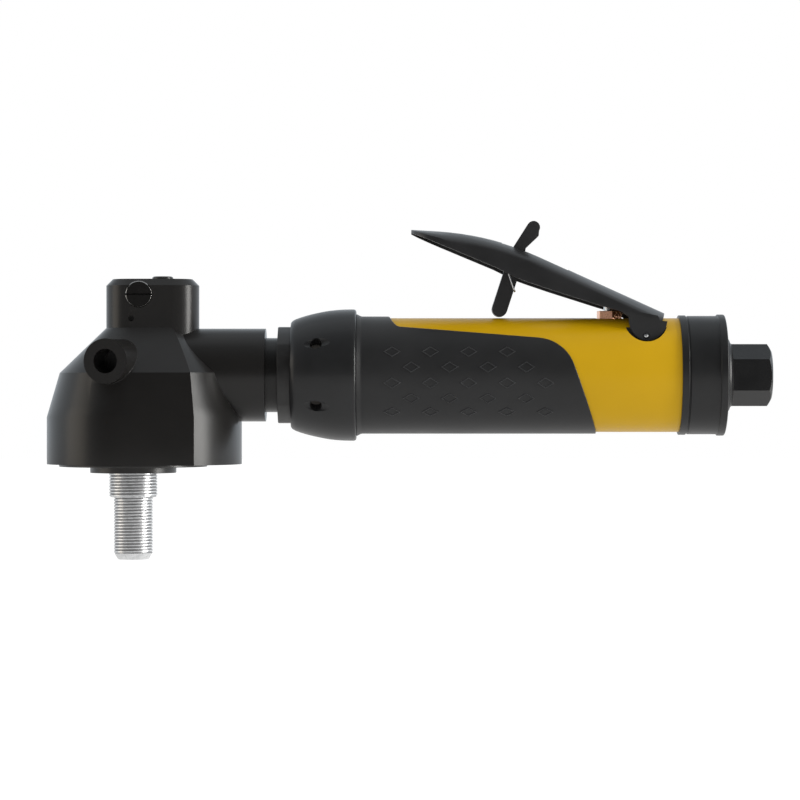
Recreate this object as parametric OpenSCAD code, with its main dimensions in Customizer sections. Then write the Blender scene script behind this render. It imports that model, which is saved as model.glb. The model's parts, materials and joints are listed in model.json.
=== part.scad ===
// Right angle air grinder: an angle head on a lever handle with a vane motor inside.
// The origin is the centre of the spindle at the shoulder between its two threads.
// +X runs along the handle to the air inlet, +Z is up and the spindle points down.

/* [Spindle] */
// Radius of the work thread, an M14
work_r = 7; // [6:0.5:8]
// Length of the work thread with its end chamfer
work_l = 21.9; // [16:0.5:30]
// Radius of the collar thread above it, an M17
collar_r = 8.5; // [8.2:0.1:9.5]
// Length of the collar thread
collar_thread_l = 8.6; // [6:0.2:12]
// Radius of the dust flange on the spindle
flange_r = 15.2; // [13:0.2:17]
// Thickness of the dust flange
flange_t = 2.05; // [1.5:0.05:3]
// Radius of the spindle in its upper bearing
top_journal_r = 4; // [3.5:0.1:4.2]

/* [Angle head] */
// Radius of the head's skirt around the spindle
skirt_r = 30.4; // [28:0.2:34]
// How much further the skirt reaches towards the handle
skirt_reach = 7.9; // [6:0.1:10]
// Height of the skirt
skirt_h = 16.6; // [12:0.2:20]
// Depth of the skirt's rim below the handle's axis
head_drop = 31.4; // [31:0.1:34]
// Radius of the head at the top of its steep cone
waist_r = 25.9; // [24:0.1:28]
// Height of the steep cone
steep_h = 15.5; // [13:0.5:17]
// Height of the shallow cone
shallow_h = 15.9; // [14:0.5:18]
// Radius of the cap's rounded ends
cap_r = 9.5; // [9:0.1:11]
// Distance between the centres of the cap's rounded ends
cap_l = 13.8; // [11:0.2:18]
// Height of the cap's top above the handle's axis
cap_top = 33.8; // [32:0.2:38]
// Chamfer round the cap's top
cap_chamfer = 2.3; // [1:0.1:3]
// Radius of the neck
neck_r = 16.4; // [15:0.1:17]
// End of the neck, measured from the spindle's axis
neck_end = 46.8; // [46:0.2:52]
// Radius of the threaded spigot behind the neck
spigot_r = 13.1; // [12.6:0.1:13.6]
// Radius of the side handle bosses
boss_r = 7.8; // [7:0.1:9]
// Distance of the bosses' faces from the spindle's axis
boss_reach = 31; // [29:0.2:34]
// Angle of the bosses ahead of square to the handle
boss_turn = 13.6; // [0:0.2:25]
// Height of the bosses above the handle's axis
boss_z = 4.6; // [2:0.2:5]
// Radius of the side handle's threaded holes, tapped M10
boss_hole_r = 4.25; // [3.4:0.05:5]
// Depth of the side handle's threaded holes
boss_hole_l = 12; // [8:0.5:12.5]
// Radius of the bearing cover's rim
cover_r = 26.1; // [24.5:0.1:28]
// Thickness of the bearing cover's rim
cover_t = 0.9; // [0.6:0.1:1.5]
// Radius of the slotted grease plug on the cap's side
side_plug_r = 4.7; // [3.5:0.1:5]
// Radius of the filler plug on the cap's top
top_plug_r = 3.7; // [3:0.1:4.5]

/* [Gears] */
// Module at the large end of the teeth
gear_m = 1.2; // [1.1:0.05:1.2]
// Teeth on the pinion
pinion_n = 13; // [12:1:13]
// Teeth on the spindle's gear
gear_n = 27; // [25:1:27]
// Length of the teeth
face_w = 5.5; // [4:0.5:6]
// Pressure angle
press_a = 25; // [22:0.5:26]
// Play between the teeth
backlash = 0.24; // [0.16:0.02:0.36]

/* [Coupling] */
// Width of the groove between neck and nut
groove_w = 4.4; // [3:0.2:6]
// Width across flats of the coupling nut
nut_af = 32; // [30:0.5:34]
// Thickness of the coupling nut
nut_w = 4.6; // [4:0.2:7]

/* [Exhaust bell] */
// Length of the bell
bell_l = 23; // [21:0.5:28]
// Radius of the bell's front end
bell_front_r = 19.1; // [18:0.1:20]
// Radius of the bell's rear end
bell_rear_r = 23.2; // [22.8:0.1:25]
// Number of exhaust holes
exhaust_n = 6; // [4:1:8]
// Radius of the exhaust holes
exhaust_r = 2.1; // [1.5:0.1:2.5]
// Distance of the exhaust holes from the bell's front
exhaust_x = 9.1; // [8:0.1:10]

/* [Handle] */
// Radius of the motor housing
body_r = 20.1; // [19.6:0.1:20.4]
// Length of the housing that shows
body_l = 113.6; // [112:0.2:125]
// How far the rubber grip stands proud of the housing
grip_proud = 0.6; // [0.3:0.1:1]
// Thickness of the rubber grip
grip_t = 2.1; // [1.5:0.1:2.1]
// How far the rear collar stands proud of the housing
collar_proud = 0.8; // [0.7:0.1:1.9]
// Length of the rear collar
collar_l = 17.1; // [15:0.2:20]
// Width across flats of the air inlet
inlet_af = 19; // [17:0.5:22]
// Length of the inlet's hexagon
inlet_l = 14.1; // [12:0.2:18]
// Radius of the inlet's pipe thread, tapped G1/4
inlet_r = 5.9; // [5.4:0.1:6]

/* [Motor] */
// Radius of the motor's bore in the housing
motor_bore_r = 17.4; // [17:0.1:17.4]
// Length of the rotor
rotor_l = 45.8; // [40:0.2:46]
// Radius of the rotor
rotor_r = 11.7; // [11:0.1:12]
// Offset of the cylinder's bore from the rotor's axis
eccentric = 1.6; // [1:0.1:1.8]
// Number of vanes
vane_n = 5; // [4:1:6]
// Thickness of a vane
vane_t = 1.9; // [1.5:0.1:2.2]

/* [Lever] */
// Distance of the lever's pivot from the housing's rear end
pivot_back = 12.1; // [11:0.1:14]
// Height of the lever's pivot above the handle's axis
pivot_z = 13.6; // [13.2:0.1:14]
// Half the width of the lever
lever_w = 13.1; // [12.9:0.1:14]
// Thickness of the lever's sheet
lever_t = 1.5; // [1.2:0.1:1.5]
// How far the lever swings down, in degrees
lever_swing = 12; // [8:0.5:12]
// Slope of the lever's straight part
lever_slope = 24.4; // [24:0.1:26]
// Length of the lever's straight part
lever_l = 48.6; // [46:0.2:52]
// Radius of the lever's bend
lever_bend_r = 100; // [90:1:120]
// Slope of the lever's tip
tip_slope = 3; // [1:0.5:6]
// Length of the lever's tip
tip_l = 8.8; // [6:0.2:12]
// Distance of the valve's plunger ahead of the lever's pivot
plunger_lead = 12.2; // [11.5:0.1:13]
// Radius of the plunger
plunger_r = 2; // [1.6:0.1:2.1]
// Width across flats of the valve bushing
bushing_af = 8; // [7.6:0.2:9]
// Distance of the lock link's pin ahead of the lever's pivot
link_lead = 46; // [44:0.5:48]
// Height of the lock link's pin above the housing
link_rise = 18.5; // [18:0.1:19]
// Thickness of the lock link
link_w = 8; // [6:0.5:9]
// Width of the lock link's leg
leg_w = 5.4; // [4.5:0.1:5.6]

/* [Hidden] */
$fn = 96;

// Clearances
fit = 0.02;
run = 0.05;
slip = 0.1;
seat = 0.15;
cut = 1;

// Heights from the handle's axis
rim_z = -head_drop;
shoulder_z = rim_z - cover_t - seat - flange_t - collar_thread_l;
axis_h = -shoulder_z;
flange_z = shoulder_z + collar_thread_l;
relief_r = collar_r - 0.6;
relief_w = 1.2;
steep_z = rim_z + skirt_h;
waist_z = steep_z + steep_h;
cone_top_z = waist_z + shallow_h;

// Lower spindle bearing, 17 x 35 x 10
low_in = collar_r;
low_out = collar_r + 9;
low_w = 10;
cover_l = 3.9;
low_z = rim_z + cover_l;
low_top = low_z + low_w;
cover_thread_r = cover_r - 3.1;
seal_r = low_in + 3.2;
flange_hub_r = low_in + 1.9;

// Bevel gears with their common apex on the crossing of the axes
gear_r = gear_m * gear_n / 2;
pinion_r = gear_m * pinion_n / 2;
cone_l = sqrt(gear_r * gear_r + pinion_r * pinion_r);
gear_d = atan(gear_n / pinion_n);
pinion_d = 90 - gear_d;
small = (cone_l - face_w) / cone_l;
add = gear_m;
ded = 1.25 * gear_m;
gear_back = 3.5;
gear_bore_r = 6.5;
gear_foot_r = 9.5;
gear_hub_r = 7.6;
gear_nut_z = -gear_hub_r / tan(gear_d - atan(ded / cone_l)) - 0.2;
gear_nut_h = 4;
gear_nut_af = 15;
chamber_r = 17.5;

// Upper needle bearing
needle_z = 15;
needle_h = 10;
needle_r = 0.75;
needle_n = 14;
needle_pitch = top_journal_r + fit + needle_r;
cup_in = needle_pitch + needle_r + 2 * fit;
cup_r = cup_in + 0.45;
cap_pocket_z = 29.5;

// Pinion bearings, 10 x 22 x 6
pb_in = 5;
pb_out = 11;
pb_w = 6;
pb_x1 = 22;
pb_x2 = neck_end - 8.8;
pinion_collar_r = pb_in + 1.3;
pinion_throat_r = pb_out - 1.2;

// Stations along the handle, from the spindle's axis
nut_x = neck_end + groove_w;
bell_x = nut_x + nut_w;
body_x = bell_x + bell_l;
body_end = body_x + body_l;
pivot_x = body_end - pivot_back;
plunger_x = pivot_x - plunger_lead;
collar_end = body_end + collar_l;
hex_x = collar_end + 1.5;
inlet_end = hex_x + inlet_l;
spigot_end = bell_x + 5.2;

// Motor
thread_l = 8;
thread_r = body_r - 1.3;
front_plate_x = body_x + 4.2;
plate_w = 9;
cyl_x = front_plate_x + plate_w;
rotor_gap = 0.1;
cyl_l = rotor_l + 2 * rotor_gap;
rear_plate_x = cyl_x + cyl_l;
washer_x = rear_plate_x + plate_w;
washer_w = 3;
motor_end = washer_x + washer_w;
bore_r = rotor_r + rotor_gap + eccentric;
vane_deep = 6.5;
fm_in = 5;
fm_out = 13;
rm_in = 4;
rm_out = 11;
mb_w = 7;
nose_r = 3;
nose_x = nut_x + 0.8;
quill_end = spigot_end + 1.5;

// Valve and inlet
stem_r = 1.2;
valve_out = 8;
valve_disc_r = 5.5;
disc_x = pivot_x + 4.2;
disc_t = 2.5;
seat_w = 4;
stem_end = plunger_x - 3;
gallery_r = 6.5;
shank_r = 10;
shank_x = disc_x + 10.5;
housing_end = collar_end - 2.1;
step_x = collar_end - 0.5;
screen_r = inlet_r - 0.8;
screen_rim_r = inlet_r - 0.3;
screen_rim_t = 0.8;
spot_z = body_r - 0.4;
hex_top = spot_z + 2.9;
// Turn of the bushing's hexagon, with a corner just right of the front
bushing_turn = 39;
bush_r = bushing_af / 2 - 0.5;
bush_bottom = 9;
seal_bottom = gallery_r + 0.6;

// Grip and lever
grip_r = body_r + grip_proud;
collar_out_r = body_r + collar_proud;
cap_rim_r = collar_out_r - 7.8;
washer_out_r = shank_r + 1.2;
wide = 3 * body_r;
ear_gap = 0.3;
pocket_y = lever_w - lever_t - ear_gap;
pocket_up = 5.6;
pin_r = 1;
lobe_r = 1.7;
pocket_r = pocket_up + lobe_r + ear_gap;
crest_r = 26;
crest_gap = lever_t / cos(lever_slope) + seat;
rear_x = pivot_x + 7;
rear_z = body_r + crest_gap;
bend_x = rear_x - lever_l * cos(lever_slope);
bend_z = rear_z + lever_l * sin(lever_slope);
tip_x0 = bend_x - lever_bend_r * (sin(lever_slope) - sin(tip_slope));
tip_z0 = bend_z + lever_bend_r * (cos(tip_slope) - cos(lever_slope));
tip_x = tip_x0 - tip_l * cos(tip_slope);

// Lock link
link_x = pivot_x - link_lead;
link_z = body_r + link_rise;
leg_lean = 18;
foot_gap = 0.42;
foot_r = leg_w / 2;
leg_l = (link_z - body_r - foot_gap - foot_r) / cos(leg_lean);
link_boss_r = 2.1;
link_boss_y = link_w / 2 + 1.2;
link_pin_r = 1.3;
slot_w = link_w + 1;
plunger_gap = 0.15;

// Colours
black = [0.13, 0.13, 0.13];
rubber = [0.17, 0.17, 0.18];
yellow = [0.79, 0.64, 0.12];
steel = [0.72, 0.73, 0.75];
bronze = [0.84, 0.62, 0.48];

// Helpers
function arc(c, r, a0, a1, n) =
    [for (i = [0:n]) let (a = a0 + (a1 - a0) * i / n) [c[0] + r * cos(a), c[1] + r * sin(a)]];

module place() {
    translate([0, 0, axis_h]) children();
}

module along(x) {
    translate([x, 0, 0]) rotate([0, 90, 0]) children();
}

module tube(r, bore, h) {
    difference() {
        cylinder(r = r, h = h);
        translate([0, 0, -cut]) cylinder(r = bore, h = h + 2 * cut);
    }
}

module hexagon(af) {
    circle(r = af / 2 / cos(30), $fn = 6);
}

// Closed skin over a row of loops with the same even number of points. In each loop the
// second half runs back along the first, so the ends close as strips between the halves.
function strip(n, base, up) = [
    for (j = [0:n / 2 - 2])
        let (q = [base + j, base + j + 1, base + n - 2 - j, base + n - 1 - j])
            up ? q : [q[3], q[2], q[1], q[0]]
];

module skin(loops) {
    n = len(loops[0]);
    m = len(loops);
    sides = [
        for (i = [0:m - 2], j = [0:n - 1])
            let (a = i * n + j, b = i * n + (j + 1) % n)
                each [[a, b, b + n], [a, b + n, a + n]]
    ];
    polyhedron(
        points = [for (l = loops) each l],
        faces = concat(sides, strip(n, 0, false), strip(n, (m - 1) * n, true)),
        convexity = 6
    );
}

// Round wire along a path, with the ring frames taken from the path itself
function unit(v) = v / norm(v);
function ring(p, t, r, n) =
    let (ref = abs(t[1]) > 0.8 ? [1, 0, 0] : [0, 1, 0])
        let (u = unit(cross(ref, t)), w = cross(t, u))
            [for (k = [0:n - 1]) p + r * (cos(360 * k / n) * u + sin(360 * k / n) * w)];

module wire(path, r, n) {
    m = len(path);
    skin([
        for (i = [0:m - 1])
            ring(path[i], unit(path[min(i + 1, m - 1)] - path[max(i - 1, 0)]), r, n)
    ]);
}

// Ball bearing with its axis on Z
function ball_r(ri, ro) = (ro - ri) * 0.27;

module outer_race(ri, ro, w) {
    rp = (ri + ro) / 2;
    rb = ball_r(ri, ro);
    rotate_extrude() difference() {
        translate([rp + rb * 0.5, 0]) square([ro - rp - rb * 0.5, w]);
        translate([rp, w / 2]) circle(r = rb + fit);
    }
}

module inner_race(ri, ro, w) {
    rp = (ri + ro) / 2;
    rb = ball_r(ri, ro);
    rotate_extrude() difference() {
        translate([ri, 0]) square([rp - rb * 0.5 - ri, w]);
        translate([rp, w / 2]) circle(r = rb + fit);
    }
}

module balls(ri, ro, w, n) {
    for (i = [0:n - 1])
        rotate([0, 0, 360 * i / n]) translate([(ri + ro) / 2, 0, w / 2]) sphere(r = ball_r(ri, ro));
}

// Solid of the head's plan: half round ahead of the spindle, flat sides behind it,
// and a round about the spindle closing the end
module head_form(low_r, high_r, z0, z1) {
    intersection() {
        union() {
            rotate([0, 0, 90]) rotate_extrude(angle = 180)
                polygon([[0, z0], [low_r, z0], [high_r, z1], [0, z1]]);
            rotate([90, 0, 90]) linear_extrude(height = low_r + skirt_reach + cut)
                polygon([[-low_r, z0], [low_r, z0], [high_r, z1], [-high_r, z1]]);
        }
        rotate_extrude()
            polygon([[0, z0 - cut], [low_r + skirt_reach + (low_r - high_r) * cut / (z1 - z0), z0 - cut],
                [high_r + skirt_reach - (low_r - high_r) * cut / (z1 - z0), z1 + cut], [0, z1 + cut]]);
    }
}

// Stadium with its second centre at [len, 0]
module stadium(r0, r1, len, z0, z1) {
    rotate([0, 0, 90]) rotate_extrude(angle = 180)
        polygon([[0, z0], [r0, z0], [r1, z1], [0, z1]]);
    rotate([90, 0, 90]) linear_extrude(height = len)
        polygon([[-r0, z0], [r0, z0], [r1, z1], [-r1, z1]]);
    translate([len, 0, 0]) rotate([0, 0, -90]) rotate_extrude(angle = 180)
        polygon([[0, z0], [r0, z0], [r1, z1], [0, z1]]);
}

// Gap between two bevel teeth, as a cone from the apex
function inv(a) = tan(a) * 180 / PI - a;
function half_gap(rho, rv, rb) =
    let (nv = 2 * rv / gear_m)
        90 / nv - inv(press_a) + inv(rho > rb ? acos(rb / rho) : 0) + backlash / 4 / rv * 180 / PI;
function flank(rv) =
    let (rb = rv * cos(press_a), top = add + 0.6, steps = 5)
        [for (i = [0:steps])
            let (rho = rv - ded + (ded + top) * i / steps, h = half_gap(rho, rv, rb))
                [rho * sin(h), rho * cos(h) - rv]];

module gap(rv, e, n) {
    f = flank(rv);
    m = len(f);
    outline = concat(f, [for (i = [m - 1:-1:0]) [-f[i][0], f[i][1]]]);
    base = [for (p = outline) 1.12 * (cone_l * e + p[0] * cross(n, e) + p[1] * n)];
    k = len(base);
    polyhedron(
        points = concat([[0, 0, 0]], base),
        faces = concat([for (i = [0:k - 1]) [0, i + 1, (i + 1) % k + 1]], strip(k, 1, false)),
        convexity = 4
    );
}

// Angle head
module boss_at() {
    for (s = [-1, 1])
        translate([0, 0, boss_z]) rotate([0, 0, s * boss_turn]) rotate([s * -90, 0, 0]) children();
}

module angle_head_housing() {
    color(black) place() difference() {
        union() {
            head_form(skirt_r, skirt_r, rim_z, steep_z);
            head_form(skirt_r, waist_r, steep_z, waist_z);
            head_form(waist_r, cap_r, waist_z, cone_top_z);
            stadium(cap_r, cap_r, cap_l, waist_z, cap_top - cap_chamfer);
            stadium(cap_r, cap_r - cap_chamfer, cap_l, cap_top - cap_chamfer, cap_top);
            along(0) cylinder(r = neck_r, h = neck_end);
            along(neck_end) cylinder(r = spigot_r, h = spigot_end - neck_end);
            boss_at() cylinder(r = boss_r, h = boss_reach);
        }
        // Gear chamber and the lower bearing's seat
        rotate_extrude() polygon([
            [0, low_z - cut], [low_out, low_z - cut], [low_out, low_top], [chamber_r, low_top],
            [chamber_r, -0.5], [cap_r + 1, cap_r], [cup_r, cap_r + 1], [cup_r, cap_pocket_z], [0, cap_pocket_z]
        ]);
        translate([0, 0, rim_z - cut]) cylinder(r = cover_thread_r, h = cover_l + cut);
        // Bore for the pinion and its bearings
        along(gear_foot_r) cylinder(r = pinion_throat_r, h = pb_x1 - gear_foot_r);
        along(pb_x1 - fit) cylinder(r = pb_out, h = spigot_end - pb_x1 + cut);
        // Threaded holes
        boss_at() translate([0, 0, boss_reach - boss_hole_l]) cylinder(r = boss_hole_r, h = boss_hole_l + cut);
        translate([cap_r + 0.9, 0, cap_top - 6]) cylinder(r = top_plug_r - 1.1, h = 6 + cut);
        translate([2.6, 0, 28.3]) rotate([90, 0, 0]) cylinder(r = 1.5, h = cap_r);
        translate([2.6, -cap_r + 2.8, 28.3]) rotate([90, 0, 0]) cylinder(r = side_plug_r, h = 2.8 + cut);
        // Pin hole for holding the spindle
        translate([0, -cap_r + 2.5, 19.8]) rotate([90, 0, 0]) cylinder(r = 1, h = 2.5 + cut);
    }
}

module top_plug() {
    color(black) place() translate([cap_r + 0.9, 0, cap_top]) difference() {
        union() {
            rotate_extrude() polygon([[0, 0], [top_plug_r, 0], [top_plug_r, 0.6], [top_plug_r - 0.5, 1], [0, 1]]);
            translate([0, 0, -5.5]) cylinder(r = top_plug_r - 1.1 - fit, h = 5.5);
        }
        translate([0, 0, 0.1]) linear_extrude(height = 2) hexagon(3);
    }
}

module side_plug() {
    color(black) place() translate([2.6, -cap_r + 2.8, 28.3]) rotate([90, 0, 0]) difference() {
        rotate_extrude() polygon([
            [0, fit], [side_plug_r - fit, fit], [side_plug_r - fit, 2.5], [side_plug_r - 0.3, 2.8], [0, 2.8]
        ]);
        translate([-side_plug_r - cut, -0.3, 1.9]) cube([2 * side_plug_r + 2 * cut, 0.6, 2]);
    }
}

module bearing_cover() {
    color(black) place() difference() {
        union() {
            translate([0, 0, rim_z - cover_t]) cylinder(r = cover_r, h = cover_t);
            translate([0, 0, rim_z]) cylinder(r = cover_thread_r - fit, h = cover_l - fit);
        }
        translate([0, 0, rim_z - cover_t - cut]) cylinder(r = seal_r, h = cover_l + cover_t + 2 * cut);
        // Spanner holes
        for (a = [45:90:315])
            rotate([0, 0, a]) translate([flange_r + 4.6, 0, rim_z - cover_t - cut]) cylinder(r = 1.5, h = 2.5 + cut);
    }
}

module dust_seal() {
    color([0.2, 0.2, 0.2]) place() translate([0, 0, rim_z - cover_t + 0.3])
        tube(seal_r - fit, flange_hub_r + run, cover_t + cover_l - 1.8);
}

module lower_bearing_outer_race() {
    color(steel) place() translate([0, 0, low_z]) outer_race(low_in, low_out, low_w);
}

module lower_bearing_balls() {
    color(steel) place() translate([0, 0, low_z]) balls(low_in, low_out, low_w, 8);
}

module upper_needle_cup() {
    color(steel) place() translate([0, 0, needle_z]) tube(cup_r, cup_in, needle_h);
}

module upper_needles() {
    color(steel) place() for (i = [0:needle_n - 1])
        rotate([0, 0, 360 * i / needle_n]) translate([needle_pitch, 0, needle_z + 1])
            cylinder(r = needle_r, h = needle_h - 2);
}

module pinion_bearing_outer_races() {
    color(steel) place() for (x = [pb_x1, pb_x2]) along(x) outer_race(pb_in, pb_out, pb_w);
}

module pinion_bearing_balls() {
    color(steel) place() for (x = [pb_x1, pb_x2]) along(x) balls(pb_in, pb_out, pb_w, 9);
}

module pinion_bearing_spacer() {
    color(steel) place() along(pb_x1 + pb_w) tube(pb_out - fit, pb_out - 1.5, pb_x2 - pb_x1 - pb_w);
}

module pinion_retaining_ring() {
    color(steel) place() along(pb_x2 + pb_w) tube(pb_out - fit, pb_in + 3, 3);
}

module coupling_nut() {
    color(black) place() along(nut_x) difference() {
        intersection() {
            linear_extrude(height = nut_w) hexagon(nut_af);
            cylinder(r = nut_af / 2 + 1, h = nut_w);
        }
        translate([0, 0, -cut]) cylinder(r = spigot_r + fit, h = nut_w + 2 * cut);
    }
}

// Spindle and what turns with it
module spindle() {
    color(steel) place() difference() {
        rotate_extrude() polygon([
            [0, shoulder_z - work_l], [work_r - 1.9, shoulder_z - work_l], [work_r, shoulder_z - work_l + 2.8],
            [work_r, shoulder_z], [collar_r, shoulder_z], [collar_r, flange_z], [relief_r, flange_z],
            [relief_r, flange_z + relief_w], [collar_r, flange_z + relief_w], [collar_r, low_top], [gear_bore_r, low_top],
            [gear_bore_r, gear_nut_z + gear_nut_h], [5.5, gear_nut_z + gear_nut_h], [5.5, needle_z - 3],
            [top_journal_r, needle_z - 2], [top_journal_r, needle_z + needle_h + 2], [0, needle_z + needle_h + 2]
        ]);
        translate([gear_bore_r - 2, -1.5, low_top + 2]) cube([4, 3, 7]);
    }
}

module gear_key() {
    color(steel) place() translate([gear_bore_r - 2 + fit, -1.5 + fit, low_top + 2 + fit]) cube([3.2, 3 - 2 * fit, 7 - 2 * fit]);
}

module bevel_gear() {
    tip = [gear_r + add * cos(gear_d), -pinion_r + add * sin(gear_d)];
    back = [gear_r - gear_back * cos(gear_d), -pinion_r - gear_back * sin(gear_d)];
    front = small * tip - 2.5 * [cos(gear_d), sin(gear_d)];
    color(steel) place() difference() {
        rotate_extrude() polygon([
            [gear_bore_r, low_top], [gear_foot_r, low_top], [gear_foot_r, low_top + 3.5],
            back, tip, small * tip, front, [gear_hub_r, front[1]], [gear_hub_r, gear_nut_z], [gear_bore_r, gear_nut_z]
        ]);
        for (i = [0:gear_n - 1])
            rotate([0, 0, 360 * (i + 0.5) / gear_n])
                gap(gear_r / cos(gear_d), [sin(gear_d), 0, -cos(gear_d)], [cos(gear_d), 0, sin(gear_d)]);
        translate([gear_bore_r - 2, -1.5, low_top + 2]) cube([3.2 + 2 * fit, 3, 7]);
    }
}

module gear_nut() {
    color(steel) place() translate([0, 0, gear_nut_z]) difference() {
        linear_extrude(height = gear_nut_h) hexagon(gear_nut_af);
        translate([0, 0, -cut]) cylinder(r = gear_bore_r, h = gear_nut_h + 2 * cut);
    }
}

module dust_flange() {
    color(black) place() difference() {
        union() {
            translate([0, 0, rim_z - cover_t - seat - flange_t]) cylinder(r = flange_r, h = flange_t);
            translate([0, 0, rim_z - cover_t - seat - cut]) cylinder(r = flange_hub_r, h = cover_l + cover_t + seat + cut);
        }
        translate([0, 0, rim_z - 10]) cylinder(r = collar_r, h = 20);
    }
}

module lower_bearing_inner_race() {
    color(steel) place() translate([0, 0, low_z]) inner_race(low_in, low_out, low_w);
}

// Motor shaft and what turns with it
module pinion_shaft() {
    tip = [gear_r - add * sin(pinion_d), pinion_r + add * cos(pinion_d)];
    back = [gear_r + 1.6 * sin(pinion_d), pinion_r - 1.6 * cos(pinion_d)];
    front = small * tip + 2.3 * [sin(pinion_d), -cos(pinion_d)];
    color(steel) place() difference() {
        along(0) rotate_extrude() polygon([
            [0, front[0]], [front[1], front[0]], [small * tip[1], small * tip[0]], [tip[1], tip[0]],
            [back[1], back[0]], [pinion_collar_r, back[0] + 0.3], [pinion_collar_r, pb_x1], [pb_in, pb_x1],
            [pb_in, quill_end], [0, quill_end]
        ]);
        for (i = [0:pinion_n - 1])
            rotate([360 * i / pinion_n, 0, 0])
                gap(pinion_r / cos(pinion_d), [cos(pinion_d), 0, -sin(pinion_d)], [-sin(pinion_d), 0, -cos(pinion_d)]);
        along(nose_x - 2) linear_extrude(height = quill_end - nose_x + 2 + cut) hexagon(2 * nose_r * cos(30) + 2 * run);
    }
}

module pinion_bearing_inner_races() {
    color(steel) place() for (x = [pb_x1, pb_x2]) along(x) inner_race(pb_in, pb_out, pb_w);
}

module rotor() {
    color(steel) place() difference() {
        union() {
            along(nose_x) linear_extrude(height = front_plate_x - nose_x) hexagon(2 * nose_r * cos(30));
            along(front_plate_x - 3) cylinder(r = fm_in, h = plate_w + 3 + rotor_gap);
            along(cyl_x + rotor_gap) cylinder(r = rotor_r, h = rotor_l);
            along(rear_plate_x - rotor_gap) cylinder(r = rm_in, h = plate_w + 2 + rotor_gap);
        }
        for (i = [0:vane_n - 1])
            rotate([360 * i / vane_n, 0, 0])
                translate([cyl_x + rotor_gap - cut, -vane_t / 2 - run, rotor_r - vane_deep])
                    cube([rotor_l + 2 * cut, vane_t + 2 * run, vane_deep + cut]);
    }
}

module rotor_vanes() {
    color([0.45, 0.28, 0.15]) place() for (i = [0:vane_n - 1])
        rotate([360 * i / vane_n, 0, 0])
            translate([cyl_x + 2 * rotor_gap, -vane_t / 2, rotor_r - vane_deep + run])
                cube([rotor_l - 2 * rotor_gap, vane_t, vane_deep - 0.2]);
}

module motor_bearing_inner_races() {
    color(steel) place() {
        along(front_plate_x) inner_race(fm_in, fm_out, mb_w);
        along(washer_x - mb_w) inner_race(rm_in, rm_out, mb_w);
    }
}

// Exhaust bell
module bell_form() {
    // Arc through the two end radii, level at the rear
    rise = bell_rear_r - bell_front_r;
    flat = 2;
    run_l = bell_l - flat;
    r = (run_l * run_l + rise * rise) / 2 / rise;
    a1 = asin(run_l / r);
    edge = 0.9;
    rotate_extrude() polygon(concat(
        [[0, 0], [bell_front_r - 0.6, 0]],
        [for (i = [0:12]) let (a = a1 * (1 - i / 12)) [bell_rear_r - r + r * cos(a), run_l - r * sin(a) + (i == 0 ? 0.5 : 0)]],
        arc([bell_rear_r - edge, bell_l - edge], edge, 0, 90, 4),
        [[0, bell_l]]
    ));
}

module exhaust_bell() {
    hole_r = bell_front_r + (bell_rear_r - bell_front_r) * (1 - pow(1 - exhaust_x / (bell_l - 2), 2));
    hole_slope = atan(2 * (bell_rear_r - bell_front_r) * (1 - exhaust_x / (bell_l - 2)) / (bell_l - 2));
    scoop_depth = 0.9;
    scoop_r = 2.7;
    scoop_l = 16.4;
    ball = (scoop_l * scoop_l / 4 + scoop_r * scoop_r) / 2 / scoop_r;
    end_a = asin(scoop_l / 2 / ball);
    color(black) place() along(bell_x) difference() {
        bell_form();
        translate([0, 0, -cut]) cylinder(r = spigot_r + fit, h = 2 * bell_l);
        translate([0, 0, spigot_end - bell_x]) cylinder(r = motor_bore_r, h = bell_l);
        translate([0, 0, bell_l - thread_l]) cylinder(r = thread_r + fit, h = thread_l + cut);
        for (i = [0:exhaust_n - 1]) rotate([0, 0, 360 * i / exhaust_n]) {
            translate([0, 0, exhaust_x]) rotate([0, 90, 0]) cylinder(r = exhaust_r, h = bell_rear_r + cut);
            translate([hole_r + scoop_r - scoop_depth, 0, exhaust_x]) rotate([0, hole_slope, 0]) rotate_extrude()
                polygon(arc([scoop_r - ball, 0], ball, -end_a, end_a, 8));
        }
    }
}

module silencer_ring() {
    color([0.3, 0.3, 0.28]) place() along(spigot_end + 0.2)
        tube(motor_bore_r - slip, motor_bore_r - 3, body_x - thread_l - spigot_end - 0.4);
}

// Outline of the rubber grip in side view, open to the underside
module grip_window() {
    step_l = 3.7;
    top_z = grip_r - 3.8;
    top_start = [body_x + 11.6 + step_l, top_z];
    top_a = -4.5;
    back_a = -70.4;
    corner = [body_x + 72.8, grip_r - 8.4];
    rr = 14;
    tan_l = rr * tan((top_a - back_a) / 2);
    p0 = corner - tan_l * [cos(top_a), sin(top_a)];
    c = p0 + rr * [sin(top_a), -cos(top_a)];
    far = grip_r + 5.3;
    polygon(concat(
        [[body_x, -far], [body_x, far], [body_x + 7.5, far], [body_x + 11.6, grip_r]],
        [for (i = [1:4]) let (s = i / 4) [body_x + 11.6 + step_l * s, grip_r - (grip_r - top_z) * (1 - pow(1 - s, 1.8))]],
        [top_start],
        arc(c, rr, 90 + top_a, 90 + back_a, 10),
        [corner + (far + corner[1]) / sin(-back_a) * [cos(back_a), sin(back_a)]]
    ));
}

module side_cut() {
    rotate([90, 0, 0]) linear_extrude(height = wide, center = true) children();
}

module grip_sleeve() {
    lip = 0.9;
    color(rubber) place() intersection() {
        difference() {
            along(body_x + fit) rotate_extrude() polygon(concat(
                [[grip_r - grip_t, 0], [grip_r + lip, 0]],
                arc([grip_r + 1.9, 2.2], 1.9, 205, 180, 4),
                [[grip_r, body_l - 1], [grip_r - grip_t, body_l - 1]]
            ));
        }
        side_cut() grip_window();
    }
}

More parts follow.
